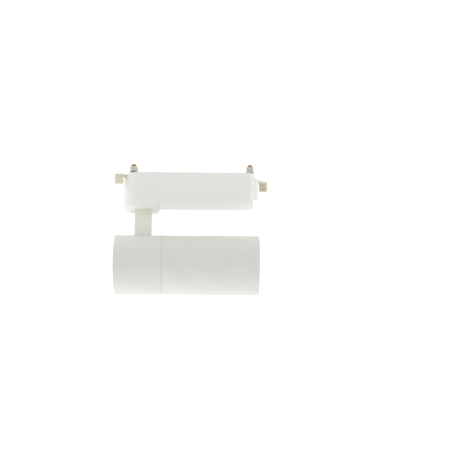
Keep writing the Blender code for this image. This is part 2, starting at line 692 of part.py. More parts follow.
def tilt_parts(parent):
    ear = SLOT_HALF + EAR_THICK
    for name, side in (("friction_washer_near", -1), ("friction_washer_far", 1)):
        a, b = sorted((side * (ARM_HALF_Y + 0.15), side * (SLOT_HALF - 0.15)))
        washer = ring(AXLE_R + GAP, 7.4, a, b, (0.0, HEAD_Z), "Y", 32)
        place(name, washer, "friction_fibre", TILT, parent)
    for name, side in (("axle_washer_near", -1), ("axle_washer_far", 1)):
        a, b = sorted((side * (ear + 0.2), side * (ear + 1.2)))
        washer = ring(AXLE_R + GAP, 5.4, a, b, (0.0, HEAD_Z), "Y", 28)
        place(name, washer, "plated_steel", TILT, parent)
    shape = pan_screw(4.3, -ear - 1.4, -ear - 5.4, AXLE_R, ear + 6.4, (0.0, HEAD_Z), "Y", 28)
    place("tilt_axle", shape, "plated_steel", TILT, parent)
    points = [(x, z + HEAD_Z) for x, z in hexagon(8.0)]
    nut = place("axle_nut", prism(points, ear + 1.4, ear + 5.4, "Y"), "plated_steel", TILT, parent)
    cutter(nut, rod(AXLE_R + 0.15, 0.0, 30.0, (0.0, HEAD_Z), "Y", 24))


def front_housing(parent):
    lip = 0.25
    edge = 0.4
    inner = HEAD_R - HEAD_WALL
    start = HEAD_SEAM_X + 0.2
    spigot = inner - GAP
    profile = [(spigot, 14.0), (spigot, start), (HEAD_R - lip, start), (HEAD_R, start + lip)]
    profile += [(HEAD_R, HEAD_FRONT_X - edge), (HEAD_R - edge, HEAD_FRONT_X), (inner, HEAD_FRONT_X)]
    profile += [(inner, FLANGE_X[1]), (18.5, FLANGE_X[1]), (18.5, FLANGE_X[0]), (spigot - 1.8, FLANGE_X[0])]
    profile += [(spigot - 1.8, 14.0)]
    made = place("front_housing", head_lathe(profile, 64), "white_paint", TILT, parent)
    for side in (-1, 1):
        cutter(made, rod(1.6, 10.0, 30.0, (side * REAR_SCREW_Y, HEAD_Z), "X", 16))
        cutter(made, rod(1.6, 10.0, 30.0, (0.0, HEAD_Z + side * SINK_SCREW_Z), "X", 16))


def heat_sink(parent):
    """A plate with straight fins on its back, trimmed to a circle."""
    back = FLANGE_X[1] + GAP
    front, deep = SINK_PLATE_X[1], SINK_PLATE_X[0]
    radius = HEAD_R - HEAD_WALL - GAP
    points = [(front, -radius - 2.0), (front, radius + 2.0)]
    edges = []
    for i in range(FIN_COUNT):
        middle = (i - (FIN_COUNT - 1) / 2) * FIN_PITCH
        edges.append((middle - FIN_THICK / 2, middle + FIN_THICK / 2))
    points.append((deep, radius + 2.0))
    for low, high in reversed(edges):
        points += [(deep, high), (back, high), (back, low), (deep, low)]
    points.append((deep, -radius - 2.0))
    comb = prism(points, HEAD_Z - 40.0, HEAD_Z + 40.0)
    made = place("heat_sink", comb, "bare_aluminium", TILT, parent)
    cutter(made, rod(radius, back - 5.0, front + 5.0, (0.0, HEAD_Z), "X", 60), "INTERSECT")
    for side in (-1, 1):
        cutter(made, rod(1.8, back - 5.0, front + 5.0, (0.0, HEAD_Z + side * SINK_SCREW_Z), "X", 16))
        cutter(made, rod(1.8, deep - 1.0, front + 5.0, (side * SINK_HOLE_Y, HEAD_Z), "X", 16))
    for name, side in (("sink_screw_upper", 1), ("sink_screw_lower", -1)):
        spot = (0.0, HEAD_Z + side * SINK_SCREW_Z)
        shape = pan_screw(2.8, front + 0.2, front + 2.0, 1.4, FLANGE_X[0] + 0.6, spot, "X")
        place(name, shape, "plated_steel", TILT, parent)


def light_source(parent):
    base = SINK_PLATE_X[1] + GAP
    outline = [(-9.5, HEAD_Z - 9.5), (9.5, HEAD_Z - 9.5), (9.5, HEAD_Z + 9.5), (-9.5, HEAD_Z + 9.5)]
    place("led_board", prism(outline, base, base + 1.4, "X"), "bare_aluminium", TILT, parent)
    emitter = rod(6.2, base + 1.7, base + 2.5, (0.0, HEAD_Z), "X", 32)
    place("led_emitter", emitter, "phosphor", TILT, parent)
    profile = [(7.2, base + 1.7), (17.4, base + 1.7), (17.4, base + 4.0), (9.0, base + 4.0), (7.2, base + 2.7)]
    place("led_holder", head_lathe(profile, 40), "white_plastic", TILT, parent)


def reflector(parent):
    """A deep bowl whose radius grows with the square root of the distance, like a parabola."""
    start, end = SINK_PLATE_X[1] + GAP + 4.4, BOWL_FRONT_X
    small, large = BOWL_R
    inner = []
    for i in range(8):
        share = i / 7
        x = start + (end - start) * share
        inner.append((small + (large - small) * math.sqrt(share) if share else small, x))
    outer = [(r + BOWL_THICK, x) for r, x in inner]
    rim = [(GLASS_R, end), (GLASS_R, end + BOWL_THICK), (large, end + BOWL_THICK)]
    place("reflector", head_lathe(inner[::-1] + outer + rim, 44), "bright_aluminium", TILT, parent)


def front_parts(parent):
    low = BOWL_FRONT_X + BOWL_THICK + GAP
    glass = rod(GLASS_R, low, low + GLASS_THICK, (0.0, HEAD_Z), "X", 44, 0.3)
    place("front_glass", glass, "clear_glass", TILT, parent)
    start = low + GLASS_THICK + GAP
    end = HEAD_FRONT_X - 0.8
    outer = HEAD_R - HEAD_WALL - GAP
    small, large = GLARE_R
    inner = [(small, start)]
    for i in range(GLARE_STEPS):
        share = (i + 1) / GLARE_STEPS
        x = start + (end - 1.5 - start) * share
        inner += [(inner[-1][0], x), (small + (large - small) * share, x)]
    profile = inner + [(inner[-1][0], end), (outer, end), (outer, start)]
    place("glare_ring", head_lathe(profile, 48), "black_plastic", TILT, parent)


def head_wire(parent):
    y = SINK_HOLE_Y
    path = [(11.0, 0.0, CHANNEL_BOTTOM + 2.4), (15.0, 1.0, CHANNEL_BOTTOM + 1.0), (19.0, 9.0, HEAD_Z + 4.0)]
    path += [(21.0, y, HEAD_Z), (27.0, y, HEAD_Z), (SINK_PLATE_X[1] - 0.6, y, HEAD_Z)]
    place("head_wire", tube(path, 1.2, 10), "cable_sheath", TILT, parent)


def head(parent):
    rear_housing(parent)
    rear_screws(parent)
    tilt_parts(parent)
    front_housing(parent)
    heat_sink(parent)
    light_source(parent)
    reflector(parent)
    front_parts(parent)
    head_wire(parent)


def build():
    clear_scene()
    adapter_housing()
    adapter_lid()
    lid_screws()
    driver_board()
    transformer()
    board_parts()
    adapter_wires()
    lock("left", LEFT_LOCK, math.radians(225))
    lock("right", RIGHT_LOCK, math.radians(45))
    pan_pivot = pivot("pan_pivot", PAN)
    pan_parts(pan_pivot)
    arm(pan_pivot)
    head(pivot("tilt_pivot", TILT))


build()
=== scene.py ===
"""The finished look of the track spotlight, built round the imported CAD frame.

Shapes are built in millimetres in the CAD's own frame and scaled to metres when they are placed. Where a
shape has to meet the CAD, its size is read from the CAD nodes' boxes.
"""

import json
import math

import bmesh
import bpy
from mathutils import Matrix, Vector

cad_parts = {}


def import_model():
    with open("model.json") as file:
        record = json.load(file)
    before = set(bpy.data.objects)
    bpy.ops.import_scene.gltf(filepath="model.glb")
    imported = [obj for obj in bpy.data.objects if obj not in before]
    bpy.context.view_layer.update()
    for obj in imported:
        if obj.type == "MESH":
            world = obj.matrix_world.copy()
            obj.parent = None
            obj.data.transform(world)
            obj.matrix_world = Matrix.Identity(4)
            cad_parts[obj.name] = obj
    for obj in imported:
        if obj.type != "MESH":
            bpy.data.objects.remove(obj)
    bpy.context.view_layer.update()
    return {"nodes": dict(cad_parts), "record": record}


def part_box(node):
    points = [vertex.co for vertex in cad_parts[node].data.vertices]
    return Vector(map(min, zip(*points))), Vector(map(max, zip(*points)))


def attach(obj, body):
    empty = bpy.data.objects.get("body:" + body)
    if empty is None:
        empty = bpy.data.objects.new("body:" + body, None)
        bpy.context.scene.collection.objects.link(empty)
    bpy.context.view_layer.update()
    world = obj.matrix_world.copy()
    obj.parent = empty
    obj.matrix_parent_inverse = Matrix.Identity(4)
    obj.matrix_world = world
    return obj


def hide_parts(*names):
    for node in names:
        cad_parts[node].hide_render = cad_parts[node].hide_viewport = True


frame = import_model()

MM = 0.001


def box_mm(node):
    """The low and high corners of a CAD node's box, in millimetres."""
    low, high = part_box(node)
    return low / MM, high / MM


# ------------------------------------------------------------------ sizes in millimetres

BOX_LOW, BOX_HIGH = box_mm("adapter_housing")
LID_LOW = box_mm("adapter_lid")[0]
DISC_LOW, DISC_HIGH = box_mm("swivel_disc")
ARM_HIGH = box_mm("arm")[1]
COVER_LOW, COVER_HIGH = box_mm("arm_cover")
REAR_LOW, REAR_HIGH = box_mm("rear_housing")
FRONT_LOW, FRONT_HIGH = box_mm("front_housing")
GLARE_LOW, GLARE_HIGH = box_mm("glare_ring")
GLASS_LOW, GLASS_HIGH = box_mm("front_glass")
BOWL_LOW, BOWL_HIGH = box_mm("reflector")

# The driver box: a half-round left end over a raised pad, and a boss at the right end.
HALF = BOX_HIGH.y
ROUND_X = BOX_LOW.x + HALF
RIGHT_X = 113.5
CORNER = 6.0
BOX_BOTTOM = -31.4
FILLET = 1.4
WALL = 2.2
SHELF_Z = -4.1
PAD_BOTTOM = BOX_LOW.z
PAD_TOP_X = 17.6
PAD_BOTTOM_X = 13.9
PAD_FILLET = 2.6
PAD_STEP = 0.04
RECESS_GAP = 0.14
POCKET_R = 12.6
POCKET_FLOOR = -31.2
PAN_HOLE_R = 3.8
BOSS_R = 8.9
BOSS_BOTTOM = -23.2
BOSS_EDGE = 0.9
BOSS_POCKET_R = 6.6
LEFT_NOTCH_HALF = 10.6
RIGHT_NOTCH_HALF = 9.6
LID_STEP = (-3.6, -1.6, 100.6, 102.6)
LID_GAP = 0.3
LID_HOLE_R = 1.4
LID_COUNTERBORE = (2.7, -1.4)
LOCK_BORE_R = 4.3

# The screws: each CAD node's head height and shank radius.
SCREWS = {
    "lid_screw_left": (1.0, 0.95),
    "lid_screw_right": (1.0, 0.95),
    "rear_screw_near": (1.8, 1.45),
    "rear_screw_far": (1.8, 1.45),
    "left_cap_screw": (1.4, 0.85),
    "right_cap_screw": (1.4, 0.85),
}
THREAD_DEPTH = 0.16

# The locks: a stepped spindle, a lever with a hanging tab, then plate, carrier and contact strip.
# The spindle's outline runs as (radius, height) from its tip, past the clip's groove, up to the neck.
LEFT_LOCK_X = -10.5
RIGHT_LOCK_X = 109.5
NECK_R = 2.6
SPINDLE = [
    (0.0, -12.5), (4.0, -12.5), (4.0, -7.7), (3.2, -7.7), (3.2, -6.7), (4.0, -6.7), (4.0, -3.7),
    (6.0, -3.7), (6.0, -0.7), (4.6, -0.7), (4.6, 2.4), (NECK_R, 2.4), (NECK_R, 8.6), (1.0, 8.6),
    (1.0, 3.0), (0.0, 3.0),
]
SPINDLE_ROUNDS = {1: 0.5, 7: 0.35, 8: 0.35, 10: 0.4, 12: 0.3}
BAR_HALF = 2.5
BAR_Z = (-3.5, -0.9)
NECK_HOLE_R = NECK_R + 0.3
PLATE_SIZE = (24.0, 8.6)
PLATE_Z = (2.7, 4.5)
CARRIER_HALF = (3.7, 11.0)
CARRIER_Z = (4.8, 8.8)
STRIP_SIZE = (26.0, 4.8)
STRIP_Z = (9.1, 9.9)
TAB_REACH = 20.2
TAB_THICK = 3.3
TAB_WIDTH = 8.9
TAB_HEIGHT = (-11.8, -1.0)
TAB_HOLLOW = ((-3.0, -0.5), (-1.5, 3.7), (-11.0, -4.4))

# The arm and its cable channel.
ARM_HALF_X = ARM_HIGH.x
ARM_HALF_Y = ARM_HIGH.y
ARM_TOP = DISC_LOW.z - 0.02
ARM_EDGE = 0.9
ARM_BORE_R = 2.3
CHANNEL_HALF = 2.6
CHANNEL_LOW = -84.0
TILT_BORE_R = 2.7

# The head: two housings on one centre line, with a slot for the arm in the rear one.
HEAD_Z = (REAR_LOW.z + REAR_HIGH.z) / 2
HEAD_R = (REAR_HIGH.z - REAR_LOW.z) / 2
HEAD_WALL = 2.3
SEAM_GAP = 0.16
SEAM_X = REAR_HIGH.x
REAR_FLOOR_X = 12.0
SLOT_HALF = 5.6
SLOT_FRONT = 9.2
SLOT_DROP = 9.4
EAR_THICK = 3.0
REAR_SCREW_Y = 22.0
POST_R = 3.6
POST_BORE_R = 1.8
POST_COUNTERBORE_R = 3.1
SINK_SCREW_Z = 21.0
FLANGE_X = (21.3, 24.6)
FLANGE_R = 18.5
FLANGE_HOLE_R = 1.6
GLARE_STEPS = 9
BOWL_SMALL_R = 9.0
BOWL_THICK = 1.2
FACET_DEPTH = 0.16
FACET_ROWS = 14
FACET_COLUMNS = 32
FACET_FINE = 4
CLAMP_HOLE_REACH = 13.4

# The light: a white tent whose strength grows to the sides, above and behind, and two lit panels below.
TENT_AROUND = 0.51
TENT_SIDES = 0.524
TENT_ABOVE = 0.50
TENT_BEHIND = 0.30
TENT_SEEN = 1.35
BOUNCE_SIZE = 2.2
BOUNCE = 0.388
GLOW_SIZE = 0.4
GLOW = 3.68

# The camera, in metres and degrees, with the picture's shift as a share of its width.
LENS = 92.8
AIM = (0.0839, 0.0, -0.0514)
DISTANCE = 1.195
LOOK_UP = 12.9
ROLL = 0.0085
SHIFT = (0.3 / 450.0, 0.4 / 450.0)

# Turns an axis that points along Z to point along another.
TURN_TO = {
    "Z": Matrix(),
    "X": Matrix.Rotation(math.pi / 2, 4, "Y"),
    "Y": Matrix.Rotation(-math.pi / 2, 4, "X"),
}


# ------------------------------------------------------------------ materials


def graph(name):
    """A new node material, its tree and its shader."""
    made = bpy.data.materials.new(name)
    made.use_nodes = True
    tree = made.node_tree
    return made, tree, tree.nodes["Principled BSDF"]


def add(tree, kind, **inputs):
    """A new node with some of its inputs set, where _ stands for a space."""
    node = tree.nodes.new(kind)
    for key, value in inputs.items():
        node.inputs[key.replace("_", " ")].default_value = value
    return node


def coords(tree, stretch=(1.0, 1.0, 1.0)):
    """Object coordinates in millimetres, stretched along an axis."""
    source = tree.nodes.new("ShaderNodeTexCoord")
    scale = tree.nodes.new("ShaderNodeMapping")
    scale.inputs["Scale"].default_value = [s / MM for s in stretch]
    tree.links.new(source.outputs["Object"], scale.inputs["Vector"])
    return scale.outputs["Vector"]


def noise(tree, where, scale, detail=3.0, rough=0.5):
    """Noise with this many features per millimetre."""
    node = add(tree, "ShaderNodeTexNoise", Scale=scale, Detail=detail, Roughness=rough)
    tree.links.new(where, node.inputs["Vector"])
    return node.outputs["Fac"]


def ramp(tree, value, low, high, a, b):
    """Map a value between two limits onto two numbers."""
    node = tree.nodes.new("ShaderNodeMapRange")
    node.inputs["From Min"].default_value = low
    node.inputs["From Max"].default_value = high
    node.inputs["To Min"].default_value = a
    node.inputs["To Max"].default_value = b
    tree.links.new(value, node.inputs["Value"])
    return node.outputs["Result"]


def blend_colour(tree, factor, a, b):
    """Mix two colours, each either fixed or another node's output."""
    node = tree.nodes.new("ShaderNodeMix")
    node.data_type = "RGBA"
    for socket, value in ((node.inputs[6], a), (node.inputs[7], b)):
        if hasattr(value, "is_output"):
            tree.links.new(value, socket)
        else:
            socket.default_value = (*value, 1.0)
    if hasattr(factor, "is_output"):
        tree.links.new(factor, node.inputs[0])
    else:
        node.inputs[0].default_value = factor
    return node.outputs[2]


def bump(tree, shader, height, strength, distance):
    """Raise the shader's surface by a height pattern."""
    node = add(tree, "ShaderNodeBump", Strength=strength, Distance=distance)
    tree.links.new(height, node.inputs["Height"])
    tree.links.new(node.outputs["Normal"], shader.inputs["Normal"])


def edges_of(tree, radius=0.7):
    """How strongly a point sits on an edge, from 0 to 1."""
    source = tree.nodes.new("ShaderNodeNewGeometry")
    spread = tree.nodes.new("ShaderNodeBevel")
    spread.samples = 4
    spread.inputs["Radius"].default_value = radius * MM
    match = tree.nodes.new("ShaderNodeVectorMath")
    match.operation = "DOT_PRODUCT"
    tree.links.new(source.outputs["Normal"], match.inputs[0])
    tree.links.new(spread.outputs["Normal"], match.inputs[1])
    return ramp(tree, match.outputs["Value"], 0.995, 0.88, 0.0, 1.0)


def painted(name, colour, warm, rough=0.46, grain=5.0):
    """Powder coat: fine orange peel, faint cloudiness, and edges made slightly lighter as a painted
    highlight.
    """
    made, tree, shader = graph(name)
    where = coords(tree)
    cloud = noise(tree, where, 0.05, 2.0)
    speck = noise(tree, where, 9.0, 2.0, 0.6)
    peel = noise(tree, where, grain, 3.0, 0.55)
    base = blend_colour(tree, ramp(tree, cloud, 0.35, 0.65, 0.0, 1.0), colour, warm)
    dusty = [c * 0.93 for c in warm]
    base = blend_colour(tree, ramp(tree, speck, 0.62, 0.78, 0.0, 0.35), base, dusty)
    # Edges made lighter: a painted highlight where edges catch the light.
    edge_highlight = [min(c * 1.06, 0.92) for c in colour]
    base = blend_colour(tree, ramp(tree, edges_of(tree), 0.0, 1.0, 0.0, 0.5), base, edge_highlight)
    tree.links.new(base, shader.inputs["Base Color"])
    tree.links.new(ramp(tree, peel, 0.3, 0.7, rough - 0.06, rough + 0.08), shader.inputs["Roughness"])
    shader.inputs["Specular IOR Level"].default_value = 0.42
    bump(tree, shader, peel, 0.16, 0.05 * MM)
    return made


def moulded(name, colour, warm, rough=0.4, soft=0.06, grain=3.2):
    """Moulded plastic: fine spark texture, faint flow marks, a little light let in, and edges made slightly
    lighter as a painted highlight.
    """
    made, tree, shader = graph(name)
    where = coords(tree)
    flow = noise(tree, coords(tree, (0.25, 1.0, 1.0)), 0.06, 3.0)
    spark = noise(tree, where, grain, 2.0, 0.6)
    smear = noise(tree, where, 0.35, 4.0)
    base = blend_colour(tree, ramp(tree, flow, 0.35, 0.68, 0.0, 1.0), colour, warm)
    # Edges made lighter: a painted highlight where edges catch the light.
    edge_highlight = [min(c * 1.07, 0.93) for c in colour]
    base = blend_colour(tree, ramp(tree, edges_of(tree), 0.0, 1.0, 0.0, 0.45), base, edge_highlight)
    tree.links.new(base, shader.inputs["Base Color"])
    tree.links.new(ramp(tree, smear, 0.3, 0.75, rough - 0.05, rough + 0.09), shader.inputs["Roughness"])
    shader.inputs["Subsurface Weight"].default_value = soft
    shader.inputs["Subsurface Scale"].default_value = 1.2 * MM
    shader.inputs["Subsurface Radius"].default_value = (1.0, 0.85, 0.6)
    shader.inputs["Specular IOR Level"].default_value = 0.45
    bump(tree, shader, spark, 0.10, 0.04 * MM)
    return made


def metal(name, colour, rough=0.3, lines=(1.0, 1.0, 12.0), tarnish=None, strength=0.12):
    """Bare or plated metal: fine drawn lines, cloudy reflection and a dull film in patches."""
    made, tree, shader = graph(name)
    where = coords(tree)
    drawn = noise(tree, coords(tree, lines), 1.4, 3.0, 0.6)
    cloud = noise(tree, where, 0.5, 4.0, 0.6)
    film = tarnish or [c * 0.72 for c in colour]
    base = blend_colour(tree, ramp(tree, cloud, 0.42, 0.72, 0.0, 0.65), colour, film)
    tree.links.new(base, shader.inputs["Base Color"])
    shader.inputs["Metallic"].default_value = 1.0
    tree.links.new(ramp(tree, cloud, 0.3, 0.75, rough - 0.07, rough + 0.14), shader.inputs["Roughness"])
    bump(tree, shader, drawn, strength, 0.02 * MM)
    return made


def circuit_board(name):
    """Green solder mask with darker and lighter copper runs showing under it."""
    made, tree, shader = graph(name)
    where = coords(tree)
    runs = tree.nodes.new("ShaderNodeTexBrick")
    runs.inputs["Scale"].default_value = 0.12
    runs.inputs["Mortar Size"].default_value = 0.035
    runs.inputs["Color1"].default_value = (0.010, 0.095, 0.030, 1.0)
    runs.inputs["Color2"].default_value = (0.012, 0.120, 0.040, 1.0)
    runs.inputs["Mortar"].default_value = (0.020, 0.190, 0.070, 1.0)
    tree.links.new(where, runs.inputs["Vector"])
    grain = noise(tree, where, 2.0, 3.0)
    dust = ramp(tree, grain, 0.4, 0.7, 0.0, 0.4)
    base = blend_colour(tree, dust, runs.outputs["Color"], (0.006, 0.06, 0.02))
    tree.links.new(base, shader.inputs["Base Color"])
    tree.links.new(ramp(tree, grain, 0.3, 0.7, 0.25, 0.42), shader.inputs["Roughness"])
    bump(tree, shader, runs.outputs["Fac"], 0.3, 0.05 * MM)
    return made


def wound(name, colour, dark, pitch=1.6):
    """Tape or wire wound in even turns."""
    made, tree, shader = graph(name)
    bands = tree.nodes.new("ShaderNodeTexWave")
    bands.bands_direction = "Z"
    bands.inputs["Scale"].default_value = pitch * 0.16
    bands.inputs["Distortion"].default_value = 0.6
    tree.links.new(coords(tree), bands.inputs["Vector"])
    base = blend_colour(tree, ramp(tree, bands.outputs["Fac"], 0.0, 1.0, 0.0, 1.0), dark, colour)
    tree.links.new(base, shader.inputs["Base Color"])
    shader.inputs["Roughness"].default_value = 0.42
    bump(tree, shader, bands.outputs["Fac"], 0.35, 0.08 * MM)
    return made


def sheath(name, colour):
    """Soft cable sheath with a faint extrusion grain."""
    made, tree, shader = graph(name)
    where = coords(tree)
    grain = noise(tree, where, 1.6, 3.0)
    dark = [c * 0.8 for c in colour]
    base = blend_colour(tree, ramp(tree, grain, 0.35, 0.7, 0.0, 1.0), colour, dark)
    tree.links.new(base, shader.inputs["Base Color"])
    tree.links.new(ramp(tree, grain, 0.3, 0.7, 0.45, 0.62), shader.inputs["Roughness"])
    bump(tree, shader, noise(tree, where, 4.0), 0.12, 0.05 * MM)
    return made


def phosphor(name):
    """Yellow phosphor gel with a faint grid of chips under it."""
    made, tree, shader = graph(name)
    where = coords(tree)
    chips = add(tree, "ShaderNodeTexVoronoi", Scale=0.62, Randomness=0.0)
    tree.links.new(where, chips.inputs["Vector"])
    grain = noise(tree, where, 3.0, 3.0)
    grid = ramp(tree, chips.outputs["Distance"], 0.1, 0.6, 0.0, 0.5)
    base = blend_colour(tree, grid, (0.93, 0.62, 0.05), (0.80, 0.42, 0.02))
    base = blend_colour(tree, ramp(tree, grain, 0.45, 0.75, 0.0, 0.4), base, (0.95, 0.72, 0.18))
    tree.links.new(base, shader.inputs["Base Color"])
    shader.inputs["Roughness"].default_value = 0.32
    shader.inputs["Subsurface Weight"].default_value = 0.15
    shader.inputs["Subsurface Scale"].default_value = 0.6 * MM
    bump(tree, shader, grain, 0.25, 0.05 * MM)
    return made


def glass(name):
    """Clear toughened glass with a faint green edge and fingerprints in the roughness."""
    made, tree, shader = graph(name)
    where = coords(tree)
    smear = noise(tree, where, 0.12, 4.0, 0.6)
    shader.inputs["Base Color"].default_value = (0.96, 0.985, 0.975, 1.0)
    shader.inputs["Transmission Weight"].default_value = 1.0
    shader.inputs["IOR"].default_value = 1.5
    tree.links.new(ramp(tree, smear, 0.5, 0.75, 0.01, 0.07), shader.inputs["Roughness"])
    return made


WHITE_PLASTIC = moulded("white_plastic_look", (0.842, 0.840, 0.808), (0.828, 0.824, 0.785))
WHITE_PAINT = painted("white_paint_look", (0.714, 0.714, 0.683), (0.698, 0.698, 0.663))
# A lighter, slightly warmer copy of the white paint for the swivel disc, arm and cover: painted light
# standing in for brighter light on the arm.
LIT_ARM_PAINT = painted("lit_arm_paint_look", (0.835, 0.840, 0.775), (0.815, 0.818, 0.745))
IVORY = moulded("ivory_nylon_look", (0.745, 0.698, 0.575), (0.705, 0.645, 0.505), 0.38, 0.12)
STEEL = metal("plated_steel_look", (0.62, 0.62, 0.60), 0.32)
SPRING = metal("spring_steel_look", (0.42, 0.42, 0.43), 0.30, (12.0, 1.0, 1.0))
COPPER = metal("copper_alloy_look", (0.80, 0.46, 0.25), 0.26, (1.0, 8.0, 1.0), (0.42, 0.22, 0.12))
BARE = metal("bare_aluminium_look", (0.74, 0.75, 0.76), 0.36, (1.0, 1.0, 9.0))
BRIGHT = metal(
    "bright_aluminium_look", (0.93, 0.93, 0.935), 0.13, (6.0, 1.0, 1.0), (0.84, 0.84, 0.85), 0.05
)
BLACK = moulded("black_plastic_look", (0.022, 0.022, 0.024), (0.030, 0.030, 0.031), 0.5, 0.0)
FERRITE = painted("ferrite_look", (0.055, 0.056, 0.060), (0.040, 0.040, 0.043), 0.62, 3.0)
FIBRE = painted("friction_fibre_look", (0.085, 0.075, 0.065), (0.120, 0.100, 0.080), 0.75, 2.0)
SLEEVE = moulded("capacitor_sleeve_look", (0.018, 0.035, 0.110), (0.015, 0.028, 0.085), 0.3, 0.0)
BOARD = circuit_board("circuit_board_look")
TAPE = wound("winding_tape_look", (0.78, 0.62, 0.10), (0.58, 0.42, 0.05))
WHITE_SHEATH = sheath("cable_sheath_look", (0.76, 0.76, 0.74))
RED_SHEATH = sheath("red_sheath_look", (0.52, 0.035, 0.025))
BLUE_SHEATH = sheath("blue_sheath_look", (0.03, 0.11, 0.42))
PHOSPHOR = phosphor("phosphor_look")
GLASS = glass("clear_glass_look")

LOOKS = {
    "white_plastic": WHITE_PLASTIC,
    "white_paint": WHITE_PAINT,
    "ivory_nylon": IVORY,
    "plated_steel": STEEL,
    "spring_steel": SPRING,
    "copper_alloy": COPPER,
    "bare_aluminium": BARE,
    "bright_aluminium": BRIGHT,
    "black_plastic": BLACK,
    "ferrite": FERRITE,
    "friction_fibre": FIBRE,
    "capacitor_sleeve": SLEEVE,
    "circuit_board": BOARD,
    "winding_tape": TAPE,
    "cable_sheath": WHITE_SHEATH,
    "red_sheath": RED_SHEATH,
    "blue_sheath": BLUE_SHEATH,
    "phosphor": PHOSPHOR,
    "clear_glass": GLASS,
}


def dress_frame():
    """Give every carried-over CAD node its slot's finish."""
    slots = {entry["node"]: entry["material_slot"] for entry in frame["record"]["subparts"]}
    for name, node in frame["nodes"].items():
        node.data.materials.clear()
        node.data.materials.append(LOOKS[slots[name]])
        node.data.shade_smooth()
        node.data.set_sharp_from_angle(angle=math.radians(30))


# ------------------------------------------------------------------ shapes


def arc(centre, radius, start, end, steps):
    """Points along an arc from one angle to another, in degrees."""
    points = []
    for i in range(steps + 1):
        angle = math.radians(start + (end - start) * i / steps)
        points.append((centre[0] + radius * math.cos(angle), centre[1] + radius * math.sin(angle)))
    return points


def solid(name, shape, sharp=28.0):
    """Turn a shape in millimetres into an object in metres."""
    bmesh.ops.remove_doubles(shape, verts=shape.verts, dist=1e-5)
    bmesh.ops.recalc_face_normals(shape, faces=shape.faces)
    bmesh.ops.transform(shape, matrix=Matrix.Scale(MM, 4), verts=shape.verts)
    mesh = bpy.data.meshes.new(name)
    shape.to_mesh(mesh)
    shape.free()
    mesh.shade_smooth()
    mesh.set_sharp_from_angle(angle=math.radians(sharp))
    made = bpy.data.objects.new(name, mesh)
    bpy.context.scene.collection.objects.link(made)
    return made


def prism(outline, low, high, axis="Z"):
    """Extrude a closed outline: (x, y) along Z, (y, z) along X or (x, z) along Y."""
    shape = bmesh.new()
    rings = []
    for level in (low, high):
        ring = []
        for a, b in outline:
            ring.append(shape.verts.new({"Z": (a, b, level), "X": (level, a, b), "Y": (a, level, b)}[axis]))
        rings.append(ring)
    shape.faces.new(rings[0])
    shape.faces.new(rings[1])
    count = len(outline)
    for i in range(count):
        j = (i + 1) % count
        shape.faces.new((rings[0][i], rings[0][j], rings[1][j], rings[1][i]))
    bmesh.ops.recalc_face_normals(shape, faces=shape.faces)
    return shape


def block(x, y, z, soft=0.0, segments=3):
    """A box between two limits on each axis, with its edges rounded if asked."""
    shape = prism([(x[0], y[0]), (x[1], y[0]), (x[1], y[1]), (x[0], y[1])], z[0], z[1])
    if soft:
        bmesh.ops.bevel(
            shape, geom=list(shape.edges), offset=soft, segments=segments, profile=0.5, affect="EDGES"
        )
    return shape


def soften(shape, width, keep, segments=4):
    """Round the edges whose two ends both satisfy keep."""
    edges = [e for e in shape.edges if keep(e.verts[0].co) and keep(e.verts[1].co)]
    bmesh.ops.bevel(shape, geom=edges, offset=width, segments=segments, profile=0.5, affect="EDGES")
    return shape


def at_level(level):
    """A test for points at this height."""
    return lambda co: abs(co.z - level) < 1e-4


def lathe(profile, centre=(0.0, 0.0, 0.0), axis="Z", steps=96):
    """Turn a closed profile of (radius, height) points about an axis through the centre."""
    shape = bmesh.new()
    start = [shape.verts.new((radius, 0.0, height)) for radius, height in profile]
    edges = []
    for i, here in enumerate(start):
        after = start[(i + 1) % len(start)]
        if here.co.x > 0.0 or after.co.x > 0.0:
            edges.append(shape.edges.new((here, after)))
    bmesh.ops.spin(
        shape,
        geom=start + edges,
        cent=(0.0, 0.0, 0.0),
        axis=(0.0, 0.0, 1.0),
        angle=math.tau,
        steps=steps,
        use_merge=True,
    )
    bmesh.ops.remove_doubles(shape, verts=shape.verts, dist=1e-5)
    bmesh.ops.transform(shape, matrix=Matrix.Translation(centre) @ TURN_TO[axis], verts=shape.verts)
    return shape


def spot_of(centre, axis):
    """The point where an axis through this centre meets the plane across it."""
    a, b = centre
    return {"Z": (a, b, 0.0), "X": (0.0, a, b), "Y": (a, 0.0, b)}[axis]


def rod(radius, low, high, centre=(0.0, 0.0), axis="Z", steps=48, edge=0.0):
    """A round bar between two levels on an axis, with its rims rounded if asked."""
    profile = [(0.0, low), (radius, low), (radius, high), (0.0, high)]
    if edge:
        profile = rounded(profile, {1: edge, 2: edge})
    return lathe(profile, spot_of(centre, axis), axis, steps)


def rounded(points, radii, steps=4):
    """A closed profile with some corners rounded: radii maps a point's index to its radius."""
    result = []
    count = len(points)
    for i, here in enumerate(points):
        radius = radii.get(i)
        if not radius:
            result.append(here)
            continue
        corner = Vector(here)
        before = (Vector(points[i - 1]) - corner).normalized()
        after = (Vector(points[(i + 1) % count]) - corner).normalized()
        half = before.angle(after) / 2
        reach = radius / math.tan(half)
        centre = corner + (before + after).normalized() * (radius / math.sin(half))
        first = (corner + before * reach - centre).normalized()
        last = (corner + after * reach - centre).normalized()
        for k in range(steps + 1):
            result.append(tuple(centre + radius * first.slerp(last, k / steps)))
    return result


def moved(shape, matrix):
    """Move a shape, and hand it back."""
    bmesh.ops.transform(shape, matrix=matrix, verts=shape.verts)
    return shape


